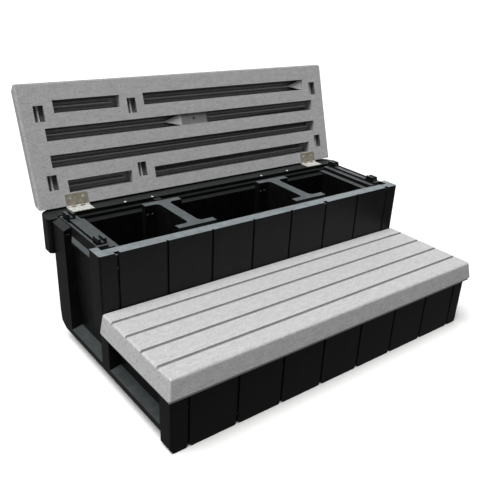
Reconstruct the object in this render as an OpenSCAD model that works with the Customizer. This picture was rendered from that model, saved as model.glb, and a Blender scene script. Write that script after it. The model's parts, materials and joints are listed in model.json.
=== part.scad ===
// Two-tread spa steps with a storage box under a hinged upper tread. Millimetres, +Z up, +X to the
// right, +Y to the rear. The origin is on the floor at the middle of the open steps' outline.

/* [Overall] */
// Width over the front panels
body_w = 900; // [760:5:1100]
// Height of each rise, floor to lower tread and lower tread to upper
rise = 180; // [150:2:220]
// Angle the lid opens from closed to its stop
lid_open = 107; // [95:1:115]

/* [Tread boards] */
// Front-to-back depth of a board
tread_d = 282; // [240:1:340]
// Thickness of a board
tread_t = 50; // [42:1:60]
// Overhang of the boards past each side
side_over = 10; // [4:1:20]
// Overhang of the lower board past the lower front panel
front_over = 12; // [4:1:20]
// Inward draft of the front and end faces
edge_draft = 7; // [3:1:10]
// Radius of the rounded top edges
edge_round = 6; // [3:1:8]
// Inset of the lip round the underside
lip_inset = 4; // [2:1:6]
// Height of the lip round the underside
lip_h = 8; // [5:1:12]
// Width of the front plank
front_plank = 55; // [45:1:65]
// Width of the rear plank
rear_plank = 44; // [36:1:60]
// Radius of the round plank grooves
plank_groove_r = 4; // [3:0.5:6]
// Depth of the plank grooves
plank_groove_deep = 3.5; // [2:0.5:4]

/* [Board underside] */
// Half width of a stiffening channel at its mouth
channel_half = 14.5; // [11:0.5:16]
// Depth of a stiffening channel
channel_deep = 32; // [20:1:34]
// Depth of the socket for a locating lug
socket_deep = 14.5; // [14:0.5:17]
// Length of a socket, front to back
socket_len = 36; // [34:1:42]
// Width of a socket
socket_w = 23; // [20:1:28]
// Sideways place of the inner sockets
inner_socket_x = -185; // [-220:1:-150]

/* [Moulded walls] */
// Wall thickness of the hollow mouldings
wall = 3.5; // [2.5:0.5:5]
// Thickness of the lower front panel
front_t = 38; // [32:1:46]
// Thickness of the upper front panel
upper_front_t = 46; // [38:1:54]
// Thickness of the side panels
side_t = 74; // [66:1:84]
// Thickness of the rear panel behind the side panels
rear_t = 24.5; // [18:0.5:34]
// Lap of the rear panel between the side panels
rear_lap = 20; // [12:1:30]
// Width of a divider web
web_w = 28; // [22:1:44]
// Width of a divider flange
flange_w = 102; // [80:2:130]
// Thickness of a divider flange
flange_t = 18; // [12:1:24]
// Place of the right divider
right_divider_x = 164; // [120:2:200]
// Spacing of the vertical panel grooves
panel_pitch = 117; // [100:1:125]
// Thickness of the storage floor
floor_t = 6; // [4:1:10]

/* [Storage box] */
// Depth of the storage box, front panel to rear panel
store_d = 174; // [150:2:230]
// Setback of the rim wall from the side face
rim_inset = 18; // [14:1:22]
// Height of a locating lug
lug_h = 12; // [8:0.5:12]

/* [Hinges] */
// Distance from the body's side to a hinge's middle
hinge_in = 82; // [75:1:110]
// Length of a hinge
hinge_len = 55; // [45:1:70]
// Width of a hinge leaf
leaf_w = 27; // [22:1:30]
// Thickness of a hinge leaf
leaf_t = 1.4; // [1:0.1:2]
// Radius of the hinge pin
pin_r = 1.5; // [1.2:0.1:2]
// Running clearance of the lid knuckles on the pin
pin_play = 0.05; // [0.02:0.01:0.1]

/* [Hidden] */
$fn = 48;
eps = 0.01;
rest_gap = 0.3;    // between the closed lid and the rim it lies on
body_gap = 0.5;    // between fixed mouldings that stand side by side

half_w = body_w / 2;
tread_w = body_w + 2 * side_over;
lower_top = rise - tread_t;
upper_top = 2 * rise - tread_t;
rim_z = upper_top - rest_gap;

upper_face_y = tread_d - front_over;
store_front_y = upper_face_y + upper_front_t;
store_back_y = store_front_y + store_d;
side_back_y = store_back_y + rear_lap;
inner_half = half_w - side_t;

// Hinge line: the leaves fold flat between the lid and the rear rail
leaf_gap = 0.3;
knuckle_r = 3;
lid_front_y = upper_face_y - 1;
lid_back_y = lid_front_y + tread_d;
pin_gap = knuckle_r + 0.5;
pin_y = lid_back_y + pin_gap;
pin_z = upper_top - leaf_t - leaf_gap / 2;
deck_z = upper_top - 2 * leaf_t - leaf_gap;
hinge_x = half_w - hinge_in;
knuckles = 5;
knuckle_gap = 0.3;

// Rear rail: a deck for the hinges, and a low ridge along its back that the open lid leans on
rail_back_y = pin_y + 20;
rail_bottom_z = upper_top - 88;
deck_front_y = lid_back_y - leaf_w - 2;
deck_back_y = lid_back_y;
deck_t = 9;
rail_corner_r = 38;
rail_front_r = 8;
rear_draft = edge_draft;
rear_round = 4;
lower_rear_draft = 1;
function opened_y(dy, dz) = dy * cos(lid_open) + dz * sin(lid_open);
function opened_z(dy, dz) = -dy * sin(lid_open) + dz * cos(lid_open);
pin_drop = upper_top - pin_z;
heel_low = [opened_y(-pin_gap, pin_drop + lip_h), opened_z(-pin_gap, pin_drop + lip_h)];
heel_top_dz = pin_drop + tread_t - rear_round;
heel_high = [opened_y(-pin_gap - rear_draft, heel_top_dz), opened_z(-pin_gap - rear_draft, heel_top_dz)];
heel_slope = (heel_high[1] - heel_low[1]) / (heel_high[0] - heel_low[0]);
stop_z = pin_z + heel_low[1] + heel_slope * (rail_back_y - pin_y - heel_low[0]) - rest_gap;
shelf_z = min(stop_z, deck_z) - 1;
stop_w = 10;
stop_in = 60;

// The rearmost and foremost points of the open steps centre the outline on the origin
tip_dy = -(pin_gap + tread_d - edge_draft - 0.3 * edge_round);
tip_dz = pin_drop + tread_t - 0.3 * edge_round;
y_mid = (pin_y + opened_y(tip_dy, tip_dz) - front_over) / 2;

// Board underside layout, measured across (x) and forward from the rear edge (u)
plank_pitch = (tread_d - front_plank - rear_plank) / 3;
board_rows = [for (k = [0:3]) rear_plank + k * plank_pitch];
short_end = tread_w / 2 - 79;
long_end = tread_w / 2 - 50;
boss_x = [-48, 30];
// Each channel's row, its two ends, and whether a ramp closes its right end
channels = [
    [board_rows[0], -short_end, inner_socket_x - 30, false],
    [board_rows[0], inner_socket_x + 34, short_end, false],
    [board_rows[1], -long_end, long_end, false],
    [board_rows[2], -long_end, boss_x[0], true],
    [board_rows[2], boss_x[1], long_end, false],
    [board_rows[3], -short_end, inner_socket_x - 30, false],
    [board_rows[3], inner_socket_x + 34, short_end, true]];
ramp_len = 48;
boss_deep = 4.5;
channel_foot = 11;
ridge_foot = 5.5;
ridge_half = 1.2;
ridge_deep = 13;
lug_x = tread_w / 2 - 44;
lug_u = [board_rows[0] + 13, board_rows[3] - 13];
lug_len = socket_len - 6;
lug_w = socket_w - 4;
lug_slot = 7;
lug_slot_deep = 8;
socket_rib = 4;
socket_rib_low = 6;
blow_hole_r = 4;
blow_hole_x = -11;

// Side panel section
lip_z = 33;
foot_w = 12;
sill_z = 47;
sill_rise = 8;
recess_deep = 25;
ledge_deep = 13;
ledge_z = upper_top - 19;
rib_y = [upper_face_y - 19, upper_face_y + 16];
rear_post_w = 63;
post_drop_in = 3;
post_drop_out = 10;
rim_wall = 2.5;
ledge_end_y = side_back_y - 108;
ridge_out = half_w - 29;
ridge_in = half_w - 43;
channel_z = upper_top - 7;
step_z = channel_z - 9;
step_w = 16;
floor_z = 40;
inner_step = 9;

// Screws
head_r = 3.4;
head_h = 1.9;
flat_r = 3.2;
shank_r = 1.7;
shank_len = 11;
pilot_r = shank_r + 0.05;
groove_half = 3;
groove_deep = 4;
notch_r = 6;
panel_grooves = [for (k = [0:7]) (k - 3.5) * panel_pitch];

black = [0.09, 0.095, 0.09];
grey = [0.66, 0.66, 0.65];
steel = [0.75, 0.74, 0.71];

module place() { translate([0, -y_mid, 0]) children(); }

// Turns a closed-lid piece about the hinge pins to the open position
module opened() {
    translate([0, pin_y, pin_z]) rotate([-lid_open, 0, 0]) translate([0, -pin_y, -pin_z]) children();
}

// A YZ outline drawn through from x0 to x1
module along_x(x0, x1) {
    translate([x0, 0, 0]) rotate([90, 0, 90]) linear_extrude(x1 - x0) children();
}

// An XZ outline drawn through from y0 to y1
module along_y(y0, y1) {
    translate([0, y1, 0]) rotate([90, 0, 0]) linear_extrude(y1 - y0) children();
}

module box(a, b) { translate(a) cube(b - a); }

/* ---- Tread boards, underside at z = 0 and rear edge at y = 0, reaching forward to -tread_d ---- */

// One level of the board's outline: side and front inset, rear inset and corner radius
module outline_level(z, inset, rear, r) {
    for (sx = [-1, 1]) {
        translate([sx * (tread_w / 2 - inset - r), -rear - r, z]) cylinder(r = r, h = eps, $fn = 32);
        translate([sx * (tread_w / 2 - inset - r), -tread_d + inset + r, z])
            cylinder(r = r, h = eps, $fn = 32);
    }
}

module board_outer(rear) {
    hull() {
        outline_level(lip_h, 0, 0, 6);
        outline_level(tread_t - edge_round, edge_draft, rear, 5);
        for (a = [30, 60, 90])
            outline_level(tread_t - edge_round * (1 - sin(a)) - eps, edge_draft + edge_round * (1 - cos(a)),
                rear + rear_round * (1 - cos(a)), 4);
    }
    box([-tread_w / 2 + lip_inset, -tread_d + lip_inset, 0], [tread_w / 2 - lip_inset, 0, lip_h + 1]);
}

// g grows the cutter by a wall thickness, to shape the hollow round it
module channel_cut(c, g) {
    translate([0, -c[0], 0]) difference() {
        along_x(c[1] - g, c[2] + g)
            polygon([[-channel_half - g, -1], [channel_half + g, -1],
                [channel_foot + g, channel_deep + g], [-channel_foot - g, channel_deep + g]]);
        if (g == 0)
            along_x(c[1] + 3, c[2] - 16)
                polygon([[-ridge_foot, channel_deep + 1], [-ridge_half, ridge_deep],
                    [ridge_half, ridge_deep], [ridge_foot, channel_deep + 1]]);
        if (g == 0 && c[3]) hull() {
            box([c[2] - 1, -channel_half, boss_deep], [c[2] + 1, channel_half, channel_deep + 1]);
            box([c[2] - ramp_len, -ridge_half, ridge_deep],
                [c[2] - ramp_len + 1, ridge_half, channel_deep + 1]);
        }
    }
}

module socket_cut(x, u, g) {
    difference() {
        box([x - socket_w / 2 - g, -u - socket_len / 2 - g, -1],
            [x + socket_w / 2 + g, -u + socket_len / 2 + g, socket_deep + g]);
        if (g == 0)
            box([x - socket_rib / 2, -u - socket_len / 2, socket_deep - socket_rib_low],
                [x + socket_rib / 2, -u + socket_len / 2, socket_deep + 1]);
    }
}

module plank_groove(u, g) {
    translate([-tread_w / 2 - 1, -u, tread_t + plank_groove_r - plank_groove_deep]) rotate([0, 90, 0])
        cylinder(r = plank_groove_r + g, h = tread_w + 2);
}

module board_cutters(g) {
    for (c = channels) channel_cut(c, g);
    if (g > 0)
        box([boss_x[0], -board_rows[2] - channel_half - g, -1],
            [boss_x[1], -board_rows[2] + channel_half + g, boss_deep + g + 2]);
    for (u = lug_u, x = [-lug_x, inner_socket_x, lug_x]) socket_cut(x, u, g);
    for (u = board_rows) plank_groove(u, g);
}

// rear is the inward draft of the rear face
module board(rear) {
    hollow_in = lip_inset + wall;
    top_in = edge_draft + wall;
    difference() {
        board_outer(rear);
        difference() {
            hull() {
                box([-tread_w / 2 + hollow_in, -tread_d + hollow_in, wall],
                    [tread_w / 2 - hollow_in, -wall, wall + eps]);
                box([-tread_w / 2 + top_in, -tread_d + top_in, tread_t - wall - eps],
                    [tread_w / 2 - top_in, -wall - rear_draft, tread_t - wall]);
            }
            board_cutters(wall);
            box([-hinge_x - hinge_len / 2, -leaf_w, 0], [-hinge_x + hinge_len / 2, 0, 15]);
            box([hinge_x - hinge_len / 2, -leaf_w, 0], [hinge_x + hinge_len / 2, 0, 15]);
        }
        board_cutters(0);
        box([boss_x[0] - 1, -board_rows[2] - channel_half, -1],
            [boss_x[1] + 1, -board_rows[2] + channel_half, boss_deep]);
        translate([blow_hole_x, -board_rows[2], boss_deep - 1]) cylinder(r = blow_hole_r, h = 3);
    }
}

module lower_tread() {
    color(grey) place() translate([0, upper_face_y, lower_top]) board(lower_rear_draft);
}

module storage_lid() {
    color(grey) place() opened() difference() {
        translate([0, lid_back_y, upper_top]) board(rear_draft);
        for (p = leaf_holes(-1)) translate([p[0], p[1], upper_top - 1]) cylinder(r = pilot_r, h = shank_len + 2);
    }
}

/* ---- Front and rear panels ---- */

module panel_groove_plan(face_y, side) {
    for (x = panel_grooves)
        translate([x, face_y]) polygon([[-groove_half, -side * eps], [-groove_half / 2, side * groove_deep],
            [groove_half / 2, side * groove_deep], [groove_half, -side * eps]]);
}

// Plan of a front panel: square rear, rounded outer corners and the vertical grooves
module front_plan(face_y, t) {
    r = 4;
    difference() {
        union() {
            translate([-half_w, face_y + r]) square([body_w, t - r]);
            translate([-half_w + r, face_y]) square([body_w - 2 * r, r + eps]);
            for (sx = [-1, 1]) translate([sx * (half_w - r), face_y + r]) circle(r = r);
        }
        panel_groove_plan(face_y, 1);
    }
}

// A screw's pilot hole and the seat for its head at the bottom of a groove
module screw_seat(p, face_y) {
    translate([p[0], face_y - 1, p[1]]) rotate([-90, 0, 0]) {
        cylinder(r = pilot_r, h = groove_deep + shank_len + 1);
        cylinder(r = head_r + 0.3, h = groove_deep + 1);
    }
}

// Drain nick at the foot of each groove
module foot_nicks(z) {
    for (x = panel_grooves) translate([x, z]) polygon([[-7, -1], [-3, 5], [3, 5], [7, -1]]);
}

module lower_front_panel() {
    r = 12;
    color(black) place() difference() {
        intersection() {
            linear_extrude(lower_top) front_plan(0, front_t);
            along_y(-1, front_t + 1) difference() {
                union() {
                    translate([-half_w - 1, r]) square([body_w + 2, lower_top]);
                    translate([-half_w + r, 0]) square([body_w - 2 * r, r + 1]);
                    for (sx = [-1, 1]) translate([sx * (half_w - r), r]) circle(r = r);
                }
                foot_nicks(0);
            }
        }
        box([-half_w + 6, groove_deep + wall, 8 + wall], [half_w - 6, front_t - wall, lower_top - wall]);
        for (p = lower_screw_points) screw_seat(p, 0);
    }
}

module upper_front_panel() {
    color(black) place() difference() {
        union() {
            translate([0, 0, lower_top]) linear_extrude(rim_z - lower_top)
                front_plan(upper_face_y, upper_front_t);
            box([-inner_half + body_gap, upper_face_y, floor_z - 6],
                [inner_half - body_gap, store_front_y, lower_top + 1]);
        }
        box([-half_w + rim_inset, store_front_y - 22, rim_z - inner_step],
            [half_w - rim_inset, store_front_y + 1, rim_z + 1]);
        for (k = [0, 5, 7]) translate([panel_grooves[k], upper_face_y - 1, rim_z]) rotate([-90, 0, 0])
            cylinder(r = notch_r, h = 9);
        box([-half_w + 6, upper_face_y + groove_deep + wall, lower_top + wall],
            [half_w - 6, store_front_y - wall, rim_z - inner_step - wall]);
        box([-inner_half + body_gap + wall, upper_face_y + wall, floor_z - 6 + wall],
            [inner_half - body_gap - wall, store_front_y - wall, lower_top - wall]);
        for (p = upper_screw_points) screw_seat(p, upper_face_y);
    }
}

module rear_panel() {
    half = half_w - rim_inset - 2;
    lap_half = inner_half - body_gap;
    y1 = side_back_y + rear_t;
    top = deck_z - deck_t;
    block = [inner_socket_x - lug_w / 2, inner_socket_x + lug_w / 2];
    color(black) place() difference() {
        union() {
            box([-half, side_back_y, 0], [half, y1, top]);
            box([-lap_half, store_back_y, 0], [lap_half, side_back_y + 1, top - 8]);
            box([block[0], store_back_y + 2, top - 9], [block[1], side_back_y - 2, rim_z]);
        }
        linear_extrude(upper_top) panel_groove_plan(y1, -1);
        box([-lap_half + wall, store_back_y + wall, wall],
            [lap_half - wall, y1 - groove_deep - wall, divider_screw_z - 6]);
        box([-half + wall, side_back_y + wall, wall], [-lap_half - wall, y1 - wall, divider_screw_z - 6]);
        box([lap_half + wall, side_back_y + wall, wall], [half - wall, y1 - wall, divider_screw_z - 6]);
        for (x = rail_screw_x) translate([x, rail_screw_y, deck_z - shank_len - 1]) cylinder(r = pilot_r, h = 20);
        for (p = divider_screw_points) translate([p, store_back_y + 1, divider_screw_z]) rotate([90, 0, 0])
            cylinder(r = pilot_r, h = 9, center = true);
    }
}

// Plan of the rail, with large round corners at the back and small ones at the front
module rail_plan() {
    half = tread_w / 2;
    front = side_back_y;
    in = rail_corner_r;
    translate([-half + in, front]) square([tread_w - 2 * in, rail_back_y - front]);
    translate([-half, front + rail_front_r]) square([tread_w, rail_back_y - front - rail_front_r - in]);
    translate([-half + rail_front_r, front]) square([tread_w - 2 * rail_front_r, rail_front_r + eps]);
    for (sx = [-1, 1]) {
        intersection() {
            translate([sx * (half - in), rail_back_y - in]) circle(r = in);
            translate([-half, front + rail_front_r]) square([tread_w, rail_back_y - front]);
        }
        translate([sx * (half - rail_front_r), front + rail_front_r]) circle(r = rail_front_r);
    }
}

module rear_top_rail() {
    front = side_back_y;
    half = tread_w / 2;
    y1 = side_back_y + rear_t + body_gap;
    color(black) place() difference() {
        union() {
            translate([0, 0, rail_bottom_z]) linear_extrude(shelf_z - rail_bottom_z) rail_plan();
            box([-half_w + rim_inset + 2, deck_front_y, deck_z - deck_t + eps],
                [half_w - rim_inset - 2, deck_back_y, deck_z]);
            box([-half + stop_in, rail_back_y - stop_w, shelf_z - 1], [half - stop_in, rail_back_y, stop_z]);
        }
        box([-half_w + rim_inset, front - 1, 0], [half_w - rim_inset, y1, deck_z - deck_t + eps]);
        box([-half_w + rim_inset, front - 1, deck_z - 10], [half_w - rim_inset, deck_front_y, shelf_z + 1]);
        box([-half + rail_corner_r, y1 + wall, rail_bottom_z + wall],
            [half - rail_corner_r, rail_back_y - wall, deck_z - deck_t - wall]);
        for (x = rail_screw_x) translate([x, rail_screw_y, deck_z - 12]) cylinder(r = pilot_r, h = 20);
        for (p = leaf_holes(1)) translate([p[0], p[1], deck_z - shank_len]) cylinder(r = pilot_r, h = shank_len + 1);
        for (x = [-hinge_x, hinge_x])
            box([x - hinge_len / 2 - 1, deck_back_y, pin_z - knuckle_r - 1],
                [x + hinge_len / 2 + 1, pin_y + knuckle_r + 1, deck_z + 1]);
    }
}

/* ---- Side panels ---- */

// A locating lug with a slot along its top for the rib in the board's socket
module lug(x, y, z) {
    translate([0, y, z]) difference() {
        along_x(x - lug_w / 2, x + lug_w / 2)
            polygon([[-lug_len / 2, -1], [lug_len / 2, -1], [lug_len / 2 - 3, lug_h], [-lug_len / 2 + 3, lug_h]]);
        box([x - lug_slot / 2, -lug_len, lug_h - lug_slot_deep], [x + lug_slot / 2, lug_len, lug_h + 1]);
    }
}

// A tapered pocket in the outer face between y0 and y1: deep at the sill, shallow at the top
module side_recess(y0, y1, z1, deep_top) {
    p = 0.02;
    hull() {
        box([-half_w - 1, y0, sill_z], [-half_w - 1 + p, y1, z1]);
        box([-half_w + recess_deep - p, y0 + 2, sill_z + sill_rise],
            [-half_w + recess_deep, y1 - 2, sill_z + sill_rise + p]);
        box([-half_w + deep_top - p, y0 + 2, z1 - p], [-half_w + deep_top, y1 - 2, z1]);
    }
}

// The left panel; the right one is its mirror image
module side_panel() {
    back = side_back_y - body_gap / 2;
    post_y = back - rear_post_w;
    difference() {
        union() {
            along_x(-half_w, -inner_half)
                polygon([[front_t, lip_z], [back - 26, lip_z], [back - 4, lip_z + 12], [back, lip_z + 40],
                    [back, rim_z], [store_front_y, rim_z], [store_front_y, lower_top], [front_t, lower_top]]);
            box([-inner_half - foot_w, front_t, 0], [-inner_half, back - 6, lip_z + 1]);
            box([-inner_half - 1, store_front_y + body_gap, floor_z - 12],
                [-inner_half + 10, store_back_y - body_gap, floor_z]);
        }
        side_recess(front_t + 2, rib_y[0], lower_top + 1, recess_deep - 3);
        side_recess(rib_y[1], post_y, ledge_z - wall, rim_inset);
        along_y(store_front_y - 1, post_y) polygon([[-half_w - 1, ledge_z], [-half_w + ledge_deep, ledge_z],
            [-half_w + rim_inset, rim_z + 1], [-half_w - 1, rim_z + 1]]);
        translate([0, 0, ledge_z - wall - 1]) linear_extrude(rim_z - ledge_z + wall + 2)
            polygon([[-half_w - 1, ledge_end_y], [-half_w + rim_inset, post_y - 2], [-half_w - 1, post_y]]);
        along_y(post_y - 1, back + 1) polygon([[-half_w - 1, rim_z - post_drop_out], [-half_w + rim_inset, rim_z - post_drop_in],
            [-half_w + rim_inset, rim_z + 1], [-half_w - 1, rim_z + 1]]);
        box([-half_w + rim_inset + rim_wall, store_front_y + 8, channel_z], [-ridge_out, back - 6, rim_z + 1]);
        box([-ridge_in, store_front_y - 1, channel_z + 1], [-inner_half + 1, back + 1, rim_z + 1]);
        box([-inner_half - step_w, store_front_y - 1, step_z], [-inner_half + 1, back + 1, rim_z + 1]);
        box([-half_w + recess_deep + wall, front_t + wall, lip_z + wall],
            [-inner_half - wall, back - wall, lower_top - wall]);
        box([-half_w + recess_deep + wall, store_front_y + wall, lower_top - wall - 1],
            [-inner_half - wall, back - wall, step_z - wall]);
        box([-half_w + wall, back - rear_post_w + wall, lip_z + 30],
            [-half_w + recess_deep + wall + 1, back - wall, ledge_z - wall]);
    }
    for (u = lug_u) {
        lug(-lug_x, lid_back_y - u, rim_z);
        lug(-lug_x, upper_face_y - u, lower_top);
    }
    box([-lug_x - lug_w / 2, lid_back_y - lug_u[1] - lug_len / 2, channel_z - 1],
        [-lug_x + lug_w / 2, lid_back_y - lug_u[1] + lug_len / 2, rim_z]);
    box([-lug_x - lug_w / 2, lid_back_y - lug_u[0] - lug_len / 2, channel_z - 1],
        [-lug_x + lug_w / 2, lid_back_y - lug_u[0] + lug_len / 2, rim_z]);
}

module left_side_panel() { color(black) place() side_panel(); }

module right_side_panel() { color(black) place() mirror([1, 0, 0]) side_panel(); }

/* ---- Dividers, braces and floor ---- */

// Points of an arc about (x, y), turning from a0 to a1
function arc(x, y, r, a0, a1) =
    [for (k = [0:6]) let (a = a0 + (a1 - a0) * k / 6) [x + r * cos(a), y + r * sin(a)]];

// Plan of an I-section web between y0 and y1, with round blends into its flanges
module i_plan(y0, y1) {
    r = 12;
    f = flange_w / 2;
    w = web_w / 2;
    low = y0 + flange_t;
    high = y1 - flange_t;
    polygon(concat([[-f, y0], [f, y0], [f, low]],
        arc(w + r, low + r, r, 270, 180), arc(w + r, high - r, r, 180, 90),
        [[f, high], [f, y1], [-f, y1], [-f, high]],
        arc(-w - r, high - r, r, 90, 0), arc(-w - r, low + r, r, 0, -90), [[-f, low]]));
}

module i_web(x, y0, y1, z0, z1) {
    translate([x, 0, 0]) difference() {
        translate([0, 0, z0]) linear_extrude(z1 - z0) i_plan(y0, y1);
        box([-web_w / 2 + wall, y0 + wall, z0 + wall], [web_w / 2 - wall, y1 - wall, z1 - wall]);
    }
}

module divider(x) {
    difference() {
        i_web(x, store_front_y + body_gap, store_back_y - body_gap, floor_z + floor_t, rim_z - 0.5);
        for (p = divider_screw_points) translate([p, store_back_y - flange_t - 1, divider_screw_z]) rotate([-90, 0, 0])
            cylinder(r = pilot_r, h = flange_t + 2);
    }
}

module left_divider() { color(black) place() divider(inner_socket_x); }

module right_divider() { color(black) place() divider(right_divider_x); }

module brace(x) { i_web(x, front_t + body_gap, upper_face_y - body_gap, 0, lower_top); }

module left_tread_brace() {
    color(black) place() {
        brace(inner_socket_x);
        for (u = lug_u) lug(inner_socket_x, upper_face_y - u, lower_top);
    }
}

module right_tread_brace() { color(black) place() brace(right_divider_x); }

module storage_floor() {
    color(black) place()
        box([-inner_half + body_gap, store_front_y + body_gap, floor_z],
            [inner_half - body_gap, store_back_y - body_gap, floor_z + floor_t]);
}

/* ---- Hinges ---- */

hole_dx = hinge_len / 2 - 12;
hole_y = leaf_w / 2 + 2;
// Centres of the leaf screws of both hinges; the lid's and the body's lie on the same lines when closed
function leaf_holes(side) = [for (sx = [-1, 1], d = [-1, 1])
    [sx * hinge_x + d * hole_dx, lid_back_y - hole_y + (side > 0 ? 3 : -3)]];

// Every second knuckle from the first belongs to the body leaf, the others to the lid leaf
module knuckle_row(x, first, bore) {
    pitch = hinge_len / knuckles;
    for (k = [first:2:knuckles - 1])
        translate([x - hinge_len / 2 + k * pitch + knuckle_gap / 2, pin_y, pin_z]) rotate([0, 90, 0])
            difference() {
                cylinder(r = knuckle_r, h = pitch - knuckle_gap);
                translate([0, 0, -1]) cylinder(r = bore, h = pitch + 1);
            }
}

// Tongues that join a leaf's plate to its own knuckles
module knuckle_tongues(x, first, z) {
    pitch = hinge_len / knuckles;
    for (k = [first:2:knuckles - 1])
        box([x - hinge_len / 2 + k * pitch + knuckle_gap / 2, lid_back_y - 1, z],
            [x - hinge_len / 2 + (k + 1) * pitch - knuckle_gap / 2, pin_y, z + leaf_t]);
}

module leaf(x, first, z, bore, side) {
    difference() {
        union() {
            box([x - hinge_len / 2, lid_back_y - leaf_w, z], [x + hinge_len / 2, lid_back_y - 0.5, z + leaf_t]);
            knuckle_tongues(x, first, z);
            knuckle_row(x, first, bore);
        }
        translate([x - hinge_len / 2 - 1, pin_y, pin_z]) rotate([0, 90, 0]) cylinder(r = bore, h = hinge_len + 2);
        for (p = leaf_holes(side)) translate([p[0], p[1], z + leaf_t / 2]) rotate([side > 0 ? 0 : 180, 0, 0])
            translate([0, 0, -leaf_t / 2]) cylinder(r1 = pilot_r, r2 = flat_r + 0.05, h = leaf_t);
    }
}

module body_leaf(x) { color(steel) place() leaf(x, 0, deck_z, pin_r, 1); }

module lid_leaf(x) { color(steel) place() opened() leaf(x, 1, upper_top - leaf_t, pin_r + pin_play, -1); }

module hinge_pin(x) {
    color(steel) place() translate([x - hinge_len / 2 - 0.5, pin_y, pin_z]) rotate([0, 90, 0])
        cylinder(r = pin_r, h = hinge_len + 1);
}

module left_hinge_body_leaf() { body_leaf(-hinge_x); }
module left_hinge_lid_leaf() { lid_leaf(-hinge_x); }
module left_hinge_pin() { hinge_pin(-hinge_x); }
module right_hinge_body_leaf() { body_leaf(hinge_x); }
module right_hinge_lid_leaf() { lid_leaf(hinge_x); }
module right_hinge_pin() { hinge_pin(hinge_x); }

/* ---- Screws ---- */

rail_screw_x = [-260, inner_socket_x, right_divider_x, 260];
rail_screw_y = deck_front_y + 5;
divider_screw_points = [for (x = [inner_socket_x, right_divider_x], d = [31, 44]) x - d];
divider_screw_z = upper_top - 25;
upper_screw_points = [for (k = [0, 7]) [panel_grooves[k], upper_top - 36]];
lower_screw_points = [[panel_grooves[0], 96], [panel_grooves[7], 96], [panel_grooves[1], 24],
    [panel_grooves[6], 24], [panel_grooves[2], 90], [panel_grooves[4], 24]];

// A domed screw seated at the origin, its shank down the -Z axis
module screw() {
    dome_r = (head_r * head_r + head_h * head_h) / (2 * head_h);
    intersection() {
        translate([0, 0, head_h - dome_r]) sphere(r = dome_r);
        cylinder(r = head_r + 1, h = head_h + 1);
    }
    translate([0, 0, -shank_len + 1]) cylinder(r = shank_r, h = shank_len);
}

// A flush screw whose cone fills a leaf's countersink
module flat_screw() {
    translate([0, 0, -leaf_t]) cylinder(r1 = shank_r, r2 = flat_r, h = leaf_t);
    translate([0, 0, -shank_len + 1]) cylinder(r = shank_r, h = shank_len - leaf_t - 1 + eps);
}

module hinge_body_screws() {
    color(steel) place() for (p = leaf_holes(1)) translate([p[0], p[1], deck_z + leaf_t]) flat_screw();
}

module hinge_lid_screws() {
    color(steel) place() opened() for (p = leaf_holes(-1))
        translate([p[0], p[1], upper_top - leaf_t]) rotate([180, 0, 0]) flat_screw();
}

module rail_screws() {
    color(steel) place() for (x = rail_screw_x) translate([x, rail_screw_y, deck_z]) screw();
}

module divider_screws() {
    color(steel) place() for (x = divider_screw_points)
        translate([x, store_back_y - body_gap - flange_t, divider_screw_z]) rotate([90, 0, 0]) screw();
}

module upper_panel_screws() {
    color(steel) place() for (p = upper_screw_points)
        translate([p[0], upper_face_y + groove_deep, p[1]]) rotate([90, 0, 0]) screw();
}

module lower_panel_screws() {
    color(steel) place() for (p = lower_screw_points)
        translate([p[0], groove_deep, p[1]]) rotate([90, 0, 0]) screw();
}

left_side_panel();
right_side_panel();
lower_front_panel();
upper_front_panel();
rear_panel();
rear_top_rail();
lower_tread();
storage_lid();
left_divider();
right_divider();
storage_floor();
left_tread_brace();
right_tread_brace();
left_hinge_body_leaf();
left_hinge_lid_leaf();
left_hinge_pin();
right_hinge_body_leaf();
right_hinge_lid_leaf();
right_hinge_pin();
hinge_body_screws();
hinge_lid_screws();
divider_screws();
rail_screws();
upper_panel_screws();
lower_panel_screws();
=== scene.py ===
import bpy
import json
import math
from mathutils import Matrix, Vector


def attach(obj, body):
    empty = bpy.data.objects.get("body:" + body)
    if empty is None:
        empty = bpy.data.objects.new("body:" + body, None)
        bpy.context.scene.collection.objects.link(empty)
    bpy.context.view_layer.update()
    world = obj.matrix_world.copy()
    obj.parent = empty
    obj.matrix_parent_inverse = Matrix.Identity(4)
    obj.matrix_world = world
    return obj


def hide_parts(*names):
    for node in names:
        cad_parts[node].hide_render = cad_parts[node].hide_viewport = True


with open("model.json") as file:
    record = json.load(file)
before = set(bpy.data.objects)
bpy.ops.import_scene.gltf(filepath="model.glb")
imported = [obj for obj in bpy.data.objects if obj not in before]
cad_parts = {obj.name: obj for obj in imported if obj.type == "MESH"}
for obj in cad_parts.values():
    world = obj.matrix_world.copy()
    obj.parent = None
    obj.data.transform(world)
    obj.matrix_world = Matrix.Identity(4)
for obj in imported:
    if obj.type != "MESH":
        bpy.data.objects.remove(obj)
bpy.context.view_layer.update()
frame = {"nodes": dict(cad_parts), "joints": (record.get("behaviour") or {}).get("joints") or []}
scene = bpy.context.scene
print("frame loaded:", len(frame["nodes"]), "nodes")

camera = {
    "place": (-0.9186, -1.1346, 0.8694),
    "turn": (63.629, -3.645, -39.105),  # degrees
    "lens": 47.05,
    "sensor": 36,
    "shift": (-0.068, 0.0544),
    "clip": (0.02, 50),
}
bpy.ops.object.camera_add(location=camera["place"], rotation=[math.radians(a) for a in camera["turn"]])
shotCamera = bpy.context.object
shotCamera.data.sensor_width = camera["sensor"]
shotCamera.data.lens = camera["lens"]
shotCamera.data.shift_x, shotCamera.data.shift_y = camera["shift"]
shotCamera.data.clip_start, shotCamera.data.clip_end = camera["clip"]
scene.camera = shotCamera


def deselectAll():
    if bpy.context.object and bpy.context.object.mode != "OBJECT":
        bpy.ops.object.mode_set(mode="OBJECT")
    bpy.ops.object.select_all(action="DESELECT")


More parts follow.
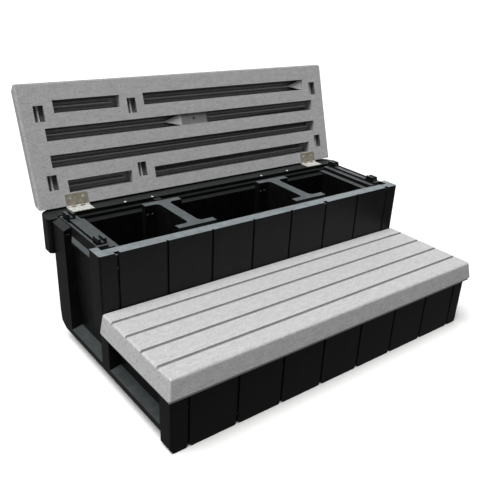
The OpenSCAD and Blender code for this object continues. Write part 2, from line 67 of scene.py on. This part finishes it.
aimPoint = Vector((0, 0, 0.2))  # about the middle of the steps


def softbox(name, place, size, power):
    deselectAll()
    bpy.ops.object.light_add(type="AREA", location=place)
    lamp = bpy.context.object
    lamp.name = name
    lamp.data.shape = "RECTANGLE"
    lamp.data.size, lamp.data.size_y = size
    lamp.data.energy = power
    lamp.rotation_euler = (aimPoint - Vector(place)).to_track_quat("-Z", "Y").to_euler()


skylight = {"from": (-0.34, -0.09, 0.94), "spread": 36, "power": 3.5}  # spread in degrees
deselectAll()
bpy.ops.object.light_add(type="SUN", location=(0, 0, 4))
overhead = bpy.context.object
overhead.name = "overheadDiffuser"
overhead.rotation_euler = Vector(skylight["from"]).to_track_quat("Z", "Y").to_euler()
overhead.data.energy = skylight["power"]
overhead.data.angle = math.radians(skylight["spread"])
softbox("leftLight", (-2.6, 0.4, 0.9), (1.2, 0.9), 6)
softbox("backLight", (1.6, 2.6, 1.6), (2.6, 1.2), 14)

# The backdrop is white to the camera and only a weak fill to the object
studio = {"fill": 0.16, "backdrop": 1.0}
world = bpy.data.worlds.new("studio")
scene.world = world
world.use_nodes = True
sky = world.node_tree
paths = sky.nodes.new("ShaderNodeLightPath")
strength = sky.nodes.new("ShaderNodeMapRange")
strength.inputs["To Min"].default_value = studio["fill"]
strength.inputs["To Max"].default_value = studio["backdrop"]
sky.links.new(paths.outputs["Is Camera Ray"], strength.inputs["Value"])
sky.nodes["Background"].inputs["Color"].default_value = (1, 1, 1, 1)
sky.links.new(strength.outputs["Result"], sky.nodes["Background"].inputs["Strength"])
scene.view_settings.view_transform = "Standard"
print("camera and lights set")


def hexColour(text):
    channels = [int(text[i:i + 2], 16) / 255 for i in (0, 2, 4)]
    return [c / 12.92 if c <= 0.04045 else ((c + 0.055) / 1.055) ** 2.4 for c in channels] + [1.0]


def perMetre(millimetres):
    return 1000 / millimetres


def newMaterial(name, **shaderValues):
    material = bpy.data.materials.new(name)
    material.use_nodes = True
    shader = material.node_tree.nodes["Principled BSDF"]
    for socket, value in shaderValues.items():
        shader.inputs[socket.replace("_", " ")].default_value = value
    return material, material.node_tree, shader


def addNode(tree, kind, settings=None, sockets=None):
    node = tree.nodes.new("ShaderNode" + kind)
    for name, value in (settings or {}).items():
        setattr(node, name, value)
    for name, value in (sockets or {}).items():
        if isinstance(value, bpy.types.NodeSocket):
            tree.links.new(value, node.inputs[name])
        else:
            node.inputs[name].default_value = value
    return node


def noise(tree, place, size, detail, roughness=0.5):
    return addNode(tree, "TexNoise", sockets={"Vector": place, "Scale": perMetre(size), "Detail": detail,
                                              "Roughness": roughness}).outputs["Fac"]


def ranged(tree, value, source, target=(0, 1)):
    return addNode(tree, "MapRange", sockets={"Value": value, "From Min": source[0], "From Max": source[1],
                                              "To Min": target[0], "To Max": target[1]}).outputs["Result"]


def blend(tree, factor, lower, upper):
    # 6, 7 and 2 are the Mix node's colour sockets, which share their names with its other sockets
    return addNode(tree, "Mix", {"data_type": "RGBA"}, {"Factor": factor, 6: lower, 7: upper}).outputs[2]


def bumped(tree, height, strengthAndDepth, under=None):
    sockets = {"Height": height, "Strength": strengthAndDepth[0], "Distance": strengthAndDepth[1]}
    if under is not None:
        sockets["Normal"] = under
    return addNode(tree, "Bump", sockets=sockets).outputs["Normal"]


def finishShader(tree, shader, base, rough, normal):
    tree.links.new(base, shader.inputs["Base Color"])
    tree.links.new(rough, shader.inputs["Roughness"])
    tree.links.new(normal, shader.inputs["Normal"])


# Grey polyethylene, blow moulded: a dull skin, cloudy along the board, with a fine pebbled grain and darker pits
boardLook = {
    "cloud": 9.0, "grain": 2.2, "pebble": 3.4,  # mm
    "stretch": (0.45, 1, 1),
    "cloudBand": (0.35, 0.65), "pitBand": (0.56, 0.70), "rough": (0.4, 0.62),
    "grainBump": (0.4, 0.0006), "pebbleBump": (0.25, 0.0008),  # strength and depth in metres
}


def greyPlastic(name, light, dark, pit):
    material, tree, shader = newMaterial(name, Roughness=0.5, IOR=1.5)
    place = addNode(tree, "TexCoord").outputs["Object"]
    drawn = addNode(tree, "Mapping", sockets={"Vector": place, "Scale": boardLook["stretch"]}).outputs["Vector"]
    cloud = noise(tree, drawn, boardLook["cloud"], 5)
    grain = noise(tree, place, boardLook["grain"], 2)
    pebble = addNode(tree, "TexVoronoi", sockets={"Vector": place, "Scale": perMetre(boardLook["pebble"])})
    clouded = blend(tree, ranged(tree, cloud, boardLook["cloudBand"]), hexColour(dark), hexColour(light))
    pitted = blend(tree, ranged(tree, grain, boardLook["pitBand"]), clouded, hexColour(pit))
    fine = bumped(tree, grain, boardLook["grainBump"])
    bump = bumped(tree, pebble.outputs["Distance"], boardLook["pebbleBump"], fine)
    finishShader(tree, shader, pitted, ranged(tree, grain, (0, 1), boardLook["rough"]), bump)
    return material


greyBoard = greyPlastic("greyMouldedPolyethylene", "CBCBCB", "BFBFC0", "8E8E90")
greyChannel = greyPlastic("channelShadePaintedGreyPolyethylene", "737375", "58585A", "3C3C3C")  # painted shade: a darker grey that stands for the shade inside the deep underside channels
# a mid grey, darker than the board, for its grooves and the boss recess
greyGroove = greyPlastic("groovesDarkerGreyPolyethylene", "8A8A8B", "7B7B7C", "666667")

# Black polyethylene, blow moulded: satin, with the soft waves of a thin blown wall, and on faces that point up a pale
# blue grey that is partly dust and partly a painted sheen of reflected sky
panelLook = {
    "black": "0B0B0A", "scuff": "131413", "sheenAndDustColour": "8E9699",
    "peel": 3.0, "wave": 55.0, "scuffs": 26.0, "haze": 18.0,  # mm
    "ledge": (0.92, 0.99),  # how far a face points up, for the painted sheen and dust
    "hazeBand": (0.2, 0.7), "thinHaze": 0.55, "scuffBand": (0.48, 0.75), "rough": (0.34, 0.5),
    "waveBump": (0.2, 0.004), "peelBump": (0.2, 0.0004),  # strength and depth in metres
}


def blackPlastic(name, sheenAndDustAmount):
    material, tree, shader = newMaterial(name, Roughness=0.42, IOR=1.5, Specular_IOR_Level=0.24)
    coords = addNode(tree, "TexCoord")
    place = coords.outputs["Object"]
    up = addNode(tree, "SeparateXYZ", sockets={"Vector": coords.outputs["Normal"]}).outputs["Z"]
    # painted sheen, partly dust: faces that point up are mixed in patches toward a pale blue grey
    haze = noise(tree, place, panelLook["haze"], 6, 0.65)
    patchy = ranged(tree, haze, panelLook["hazeBand"], (sheenAndDustAmount * panelLook["thinHaze"], sheenAndDustAmount))
    ledge = ranged(tree, up, panelLook["ledge"])
    sheenAndDustMask = addNode(tree, "Math", {"operation": "MULTIPLY"}, {0: ledge, 1: patchy}).outputs[0]
    rubbed = noise(tree, place, panelLook["scuffs"], 7)
    scuffed = blend(tree, ranged(tree, rubbed, panelLook["scuffBand"]),
                    hexColour(panelLook["black"]), hexColour(panelLook["scuff"]))
    base = blend(tree, sheenAndDustMask, scuffed, hexColour(panelLook["sheenAndDustColour"]))
    wave = bumped(tree, noise(tree, place, panelLook["wave"], 1), panelLook["waveBump"])
    bump = bumped(tree, noise(tree, place, panelLook["peel"], 2), panelLook["peelBump"], wave)
    finishShader(tree, shader, base, ranged(tree, rubbed, (0, 1), panelLook["rough"]), bump)
    return material


# Painted light: the same sheen and dust in four amounts, most on the upper front panel's top band and almost none on
# the rail, rear panel and storage floor, as painted shade
blackFront = blackPlastic("mostSheenAndDustBlackPolyethylene", 1.0)
blackPanel = blackPlastic("blackMouldedPolyethylene", 0.36)
blackDivider = blackPlastic("moreSheenAndDustBlackPolyethylene", 0.46)
blackRail = blackPlastic("shadedLittleSheenBlackPolyethylene", 0.05)

metalLook = {
    "brush": 0.9, "stain": 7,  # mm
    "stretch": (0.05, 1, 1),
    "stainDark": 0.62, "stainBand": (0.32, 0.55), "stainRough": 0.12, "cleanRough": -0.08,
    "brushBump": (0.3, 0.0002),  # strength and depth in metres
}


def brushedMetal(name, colour, metallic, roughness):
    material, tree, shader = newMaterial(name, Metallic=metallic, Roughness=roughness)
    place = addNode(tree, "TexCoord").outputs["Object"]
    lines = addNode(tree, "Mapping", sockets={"Vector": place, "Scale": metalLook["stretch"]}).outputs["Vector"]
    brushed = noise(tree, lines, metalLook["brush"], 3)
    stain = noise(tree, place, metalLook["stain"], 5)
    dark = [c * metalLook["stainDark"] for c in hexColour(colour)[:3]] + [1.0]
    base = blend(tree, ranged(tree, stain, metalLook["stainBand"]), dark, hexColour(colour))
    rough = ranged(tree, stain, (0, 1), (roughness + metalLook["stainRough"], roughness + metalLook["cleanRough"]))
    finishShader(tree, shader, base, rough, bumped(tree, brushed, metalLook["brushBump"]))
    return material


lidLeafSteel = brushedMetal("yellowZincSteel", "B6AF9C", 0.5, 0.45)  # stamped leaf, passivated a dull warm yellow
brightSteel = brushedMetal("brightZincSteel", "E4E4E0", 0.35, 0.4)  # leaf, pin and screws, plated bright, part powdery
dullSteel = brushedMetal("dulledZincSteel", "484846", 0.6, 0.5)  # screws whose plating has gone grey
print("materials made")

mergeWithin = 0.00002  # metres


def mergedCopy(node, name):
    deselectAll()
    source = frame["nodes"][node]
    piece = source.copy()
    piece.data = source.data.copy()
    piece.name = name
    piece.parent = None
    scene.collection.objects.link(piece)
    for key in list(piece.keys()):
        if key.startswith("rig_"):
            del piece[key]
    piece.select_set(True)
    bpy.context.view_layer.objects.active = piece
    bpy.ops.object.mode_set(mode="EDIT")
    bpy.ops.mesh.select_all(action="SELECT")
    bpy.ops.mesh.remove_doubles(threshold=mergeWithin)
    return piece


def wearOnly(piece, material):
    piece.data.materials.clear()
    piece.data.materials.append(material)


# Each CAD shape with its sharp edges rounded as a mould leaves them. Angles in degrees.
edgeLook = {"flatWithin": 0.5, "roundAbove": 35, "smoothBelow": 40, "steps": 2, "facePull": 100}


def mouldedShell(node, body, material, radius):
    shell = mergedCopy(node, node + "_shell")
    bpy.ops.mesh.dissolve_limited(angle_limit=math.radians(edgeLook["flatWithin"]))
    bpy.ops.object.mode_set(mode="OBJECT")
    bevel = shell.modifiers.new("rounded", "BEVEL")
    bevel.width, bevel.segments, bevel.limit_method = radius / 1000, edgeLook["steps"], "ANGLE"
    bevel.angle_limit = math.radians(edgeLook["roundAbove"])
    bevel.use_clamp_overlap = True
    bpy.ops.object.modifier_apply(modifier="rounded")
    bpy.ops.object.shade_smooth_by_angle(angle=math.radians(edgeLook["smoothBelow"]))
    even = shell.modifiers.new("evenFaces", "WEIGHTED_NORMAL")  # broad faces shade flat up to their rounded edges
    even.weight, even.keep_sharp = edgeLook["facePull"], True
    bpy.ops.object.modifier_apply(modifier="evenFaces")
    wearOnly(shell, material)
    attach(shell, body)
    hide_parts(node)
    return shell


shells = {  # node: body, slot, material, edge radius in mm
    "storage_lid": ("lid", "grey_board", greyBoard, 2.0),
    "lower_tread": ("steps", "grey_board", greyBoard, 2.0),
    "left_side_panel": ("steps", "black_panel", blackPanel, 1.8),
    "right_side_panel": ("steps", "black_panel", blackPanel, 1.8),
    "lower_front_panel": ("steps", "black_panel", blackPanel, 1.6),
    "upper_front_panel": ("steps", "black_panel", blackFront, 1.6),
    "rear_panel": ("steps", "black_panel", blackRail, 1.6),
    "rear_top_rail": ("steps", "black_panel", blackRail, 2.0),
    "left_divider": ("steps", "black_panel", blackDivider, 2.0),
    "right_divider": ("steps", "black_panel", blackDivider, 2.0),
    "left_tread_brace": ("steps", "black_panel", blackPanel, 2.0),
    "right_tread_brace": ("steps", "black_panel", blackPanel, 2.0),
    "storage_floor": ("steps", "black_panel", blackRail, 1.0),
    "left_hinge_body_leaf": ("steps", "bright_steel", brightSteel, 0.2),
    "right_hinge_body_leaf": ("steps", "bright_steel", brightSteel, 0.2),
    "left_hinge_lid_leaf": ("lid", "lid_leaf_steel", lidLeafSteel, 0.2),
    "right_hinge_lid_leaf": ("lid", "lid_leaf_steel", lidLeafSteel, 0.2),
}
for node, (body, slot, material, radius) in shells.items():
    shell = mouldedShell(node, body, material, radius)
    print(node, "shell:", len(shell.data.polygons), "faces")

# Painted shade: a board's underside channels and its blow hole get a dark grey for the shade in them; its grooves and
# the boss between two channels get a mid grey, darker than the board.
# Metres on a board laid flat, with rows measured forward from its rear edge.
boardFaces = {
    "turn": {"storage_lid_shell": 107, "lower_tread_shell": 0},  # degrees that lay each board flat
    "rows": [0.044, 0.105, 0.166, 0.227],
    "grooveHalf": 0.0045, "ridgeHalf": 0.005,
    "lip": 0.006, "edge": 0.018,
    "bossDeep": (0.004, 0.0052), "bossHalf": 0.014,
    "socketX": [-0.416, -0.185, 0.416], "ribHalf": 0.003,
    "blowHoleX": -0.011, "blowHoleHalf": 0.005, "blowHoleDeep": (0.0052, 0.012),
}
skin, channel, groove = 0, 1, 2
lip, edge = boardFaces["lip"], boardFaces["edge"]
hinge = Vector(next(j for j in frame["joints"] if j["name"] == "lid_hinge")["pos_m"])
for name, turn in boardFaces["turn"].items():
    board = bpy.data.objects[name]
    board.data.materials.append(greyChannel)
    board.data.materials.append(greyGroove)
    back = Matrix.Rotation(math.radians(turn), 3, "X")
    flat = [back @ (v.co - hinge) for v in board.data.vertices]
    low, high = min(p.z for p in flat), max(p.z for p in flat)
    left, right = min(p.x for p in flat), max(p.x for p in flat)
    front, rear = min(p.y for p in flat), max(p.y for p in flat)
    count = [0, 0, 0]
    for face in board.data.polygons:
        middle = sum((flat[i] for i in face.vertices), Vector()) / len(face.vertices)
        deep = middle.z - low
        offRow = min(abs(rear - middle.y - row) for row in boardFaces["rows"])
        inside = left + edge < middle.x < right - edge and front + edge < middle.y < rear - edge
        # faces in the top grooves and on the boss floor take the mid grey
        inGroove = middle.z > high - lip and offRow < boardFaces["grooveHalf"]
        inBoss = boardFaces["bossDeep"][0] < deep < boardFaces["bossDeep"][1] and offRow < boardFaces["bossHalf"]
        # painted shade: faces down in the underside channels take the dark grey, except on the ribs
        inChannel = inside and low + lip < middle.z < high - lip and offRow > boardFaces["ridgeHalf"]
        inBlowHole = (boardFaces["blowHoleDeep"][0] < deep < boardFaces["blowHoleDeep"][1]
                      and offRow < boardFaces["blowHoleHalf"]
                      and abs(middle.x - boardFaces["blowHoleX"]) < boardFaces["blowHoleHalf"])
        if inGroove or inBoss:
            face.material_index = groove
        elif inChannel:
            onRib = min(abs(middle.x - x) for x in boardFaces["socketX"]) < boardFaces["ribHalf"]
            face.material_index = skin if onRib else channel
        # painted shade: the blow hole takes the same dark grey
        if inBlowHole:
            face.material_index = channel
        count[face.material_index] += 1
    print(name, "skin, channel and groove faces:", count)


def selectFaces(piece, wanted):
    bpy.ops.object.mode_set(mode="EDIT")
    bpy.ops.mesh.select_mode(type="FACE")
    bpy.ops.mesh.select_all(action="DESELECT")
    bpy.ops.object.mode_set(mode="OBJECT")
    for face in piece.data.polygons:
        face.select = wanted(face)
    bpy.ops.object.mode_set(mode="EDIT")


def facesUp(face):
    return face.normal.z > 0.9


def facesDown(face):
    return face.normal.z < -0.9


# One pan head and one flat head screw, each modelled once and copied into the holes. Sizes in mm.
screwLook = {"panRadius": 3.4, "panHeight": 1.9, "flatRadius": 3.2, "flatDeep": 1.4, "shankRadius": 1.7,
             "shankLong": 9.5, "crossLong": 3.8, "crossWide": 0.9, "crossDeep": 1.0, "flatDisc": 0.1}
screwSize = {name: value / 1000 for name, value in screwLook.items()}
headSides = 28
panRim = 0.3  # of the head's height
panDome = ((0.10, 0.30), (0.20, 0.25), (0.28, 0.12), (0.22, 0.03))  # inward of the radius, up of the height


def startHead(name, radius, thickness):
    deselectAll()
    bpy.ops.mesh.primitive_cylinder_add(vertices=headSides, radius=radius, depth=thickness,
                                        location=(0, 0, -thickness / 2))
    head = bpy.context.object
    head.name = name
    bpy.ops.object.transform_apply(location=True, rotation=True, scale=True)
    return head


def cutCross(head, top):
    for turn in (0, 90):
        deselectAll()
        bladeSize = (screwSize["crossLong"], screwSize["crossWide"], 2 * screwSize["crossDeep"])
        bpy.ops.mesh.primitive_cube_add(size=1, location=(0, 0, top), rotation=(0, 0, math.radians(turn)),
                                        scale=bladeSize)
        blade = bpy.context.object
        cross = head.modifiers.new("cross", "BOOLEAN")
        cross.object, cross.operation, cross.solver = blade, "DIFFERENCE", "EXACT"
        bpy.context.view_layer.objects.active = head
        bpy.ops.object.modifier_apply(modifier="cross")
        bpy.data.objects.remove(blade)
    bpy.ops.object.shade_smooth_by_angle(angle=math.radians(35))


panHead = startHead("panHead", screwSize["panRadius"], screwSize["panHeight"] * panRim)
selectFaces(panHead, facesUp)
for inward, lift in panDome:
    bpy.ops.mesh.inset(thickness=inward * screwSize["panRadius"], depth=lift * screwSize["panHeight"])
selectFaces(panHead, facesDown)
bpy.ops.mesh.inset(thickness=screwSize["panRadius"] - screwSize["shankRadius"])
bpy.ops.mesh.extrude_region_move(TRANSFORM_OT_translate={"value": (0, 0, -screwSize["shankLong"])})
bpy.ops.object.mode_set(mode="OBJECT")
panTop = max(v.co.z for v in panHead.data.vertices)
cutCross(panHead, panTop)

flatHead = startHead("flatHead", screwSize["flatRadius"], screwSize["flatDisc"])
selectFaces(flatHead, facesDown)
bpy.ops.mesh.extrude_region_move(TRANSFORM_OT_translate={"value": (0, 0, -screwSize["flatDeep"])})
shrink = screwSize["shankRadius"] / screwSize["flatRadius"]
bpy.ops.transform.resize(value=(shrink, shrink, 1))
shankBelow = screwSize["flatDeep"] - screwSize["shankLong"]
bpy.ops.mesh.extrude_region_move(TRANSFORM_OT_translate={"value": (0, 0, shankBelow)})
bpy.ops.object.mode_set(mode="OBJECT")
cutCross(flatHead, 0)


def screwTops(node, outward):
    mergedCopy(node, node + "_loose")
    bpy.ops.mesh.separate(type="LOOSE")
    bpy.ops.object.mode_set(mode="OBJECT")
    tops = []
    for part in list(bpy.context.selected_objects):
        points = [v.co.copy() for v in part.data.vertices]
        middle = sum(points, Vector()) / len(points)
        tops.append(middle + outward * (max(p.dot(outward) for p in points) - middle.dot(outward)))
        bpy.data.objects.remove(part)
    return tops


forward, upward = Vector((0, -1, 0)), Vector((0, 0, 1))
offLid = Matrix.Rotation(math.radians(-boardFaces["turn"]["storage_lid_shell"]), 3, "X") @ Vector((0, 0, -1))
turnPerScrew = 37  # degrees, so that each is driven home at its own angle
screwSets = {  # node: body, outward direction, head, the head's top over its seat, material
    "rail_screws": ("steps", upward, panHead, panTop, brightSteel),
    "lower_panel_screws": ("steps", forward, panHead, panTop, dullSteel),
    "upper_panel_screws": ("steps", forward, panHead, panTop, dullSteel),
    "divider_screws": ("steps", forward, panHead, panTop, dullSteel),
    "hinge_body_screws": ("steps", upward, flatHead, 0.0, brightSteel),
    "hinge_lid_screws": ("lid", offLid, flatHead, 0.0, brightSteel),
}
for node, (body, outward, head, headTop, material) in screwSets.items():
    copies = []
    for number, top in enumerate(screwTops(node, outward)):
        screw = head.copy()
        screw.data = head.data.copy()
        scene.collection.objects.link(screw)
        spin = Matrix.Rotation(math.radians(turnPerScrew * number), 4, "Z")
        screw.matrix_world = (Matrix.Translation(top - outward * headTop)
                              @ outward.to_track_quat("Z", "Y").to_matrix().to_4x4() @ spin)
        copies.append(screw)
    deselectAll()
    for screw in copies:
        screw.select_set(True)
    bpy.context.view_layer.objects.active = copies[0]
    bpy.ops.object.transform_apply(location=True, rotation=True, scale=True)
    bpy.ops.object.join()
    screws = bpy.context.object
    screws.name = node + "_driven"
    wearOnly(screws, material)
    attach(screws, body)
    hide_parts(node)
    print(node, "screws:", len(copies))
for head in (panHead, flatHead):
    bpy.data.objects.remove(head)

for pin in ("left_hinge_pin", "right_hinge_pin"):
    wearOnly(frame["nodes"][pin], brightSteel)

floorLook = {"colour": "FBFBFA", "size": 40, "below": 0.0005}  # metres
deselectAll()
bpy.ops.mesh.primitive_plane_add(size=floorLook["size"], location=(0, 0, -floorLook["below"]))
floor = bpy.context.object
floor.name = "floor"
paper, tree, shader = newMaterial("matteBackdropPaper", Roughness=0.8)
shader.inputs["Base Color"].default_value = hexColour(floorLook["colour"])
floor.data.materials.append(paper)
floor.visible_diffuse = False  # the sheet takes the shadow, but throws no light back and shows in no reflection
floor.visible_glossy = False
print("floor laid")
